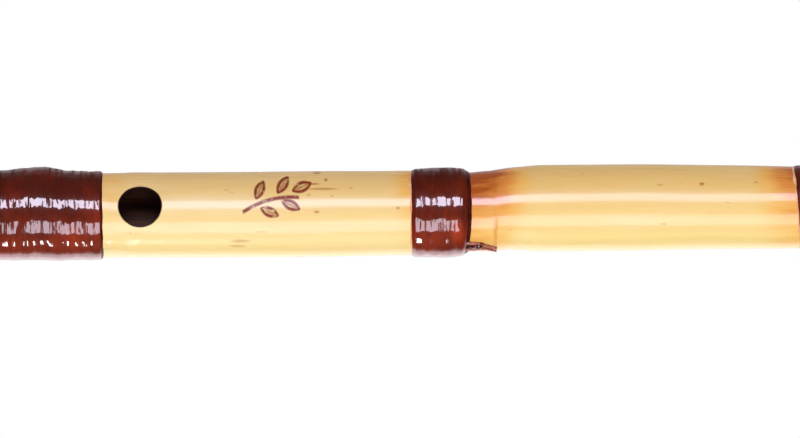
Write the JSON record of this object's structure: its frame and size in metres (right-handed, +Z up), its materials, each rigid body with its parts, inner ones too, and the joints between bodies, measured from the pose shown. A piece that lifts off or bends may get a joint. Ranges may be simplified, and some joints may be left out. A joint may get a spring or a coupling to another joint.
{
  "type": "ney flute",
  "caption": "End-blown cane flute: one bored, naturally jointed reed tube with finger and thumb holes, lacquered thread bindings at its nodes and a brass mouth sleeve.",
  "frame": {"origin": "middle of the cut foot end, on the plane the flute stands on", "axes": "+Z up the flute from the foot to the mouth rim; the thumb hole faces about -Y and the five finger holes about +Y"},
  "size_m": [0.0223, 0.0217, 0.625],
  "materials": {
    "cane": "clear-lacquered giant cane, golden straw with orange-brown stains by the nodes, fine lengthwise fibres",
    "lacquered_thread": "fine thread under thick glossy red-brown lacquer",
    "wrap_lacquer": "inner turns of thread filled level with glossy red-brown lacquer",
    "packing_thread": "waxed natural thread",
    "brass": "hand-polished brass with fine turning marks"
  },
  "bodies": {
    "root": {"cane_body": "cane", "sleeve_packing": "packing_thread", "mouth_sleeve": "brass", "binding_1_bed": "wrap_lacquer", "binding_1_thread": "lacquered_thread", "binding_2_bed": "wrap_lacquer", "binding_2_thread": "lacquered_thread", "binding_3_bed": "wrap_lacquer", "binding_3_thread": "lacquered_thread", "binding_4_bed": "wrap_lacquer", "binding_4_thread": "lacquered_thread", "binding_5_bed": "wrap_lacquer", "binding_5_thread": "lacquered_thread", "binding_5_tail": "lacquered_thread", "binding_6_bed": "wrap_lacquer", "binding_6_thread": "lacquered_thread", "foot_binding_bed": "wrap_lacquer", "foot_binding_thread": "lacquered_thread"}
  },
  "joints": []
}
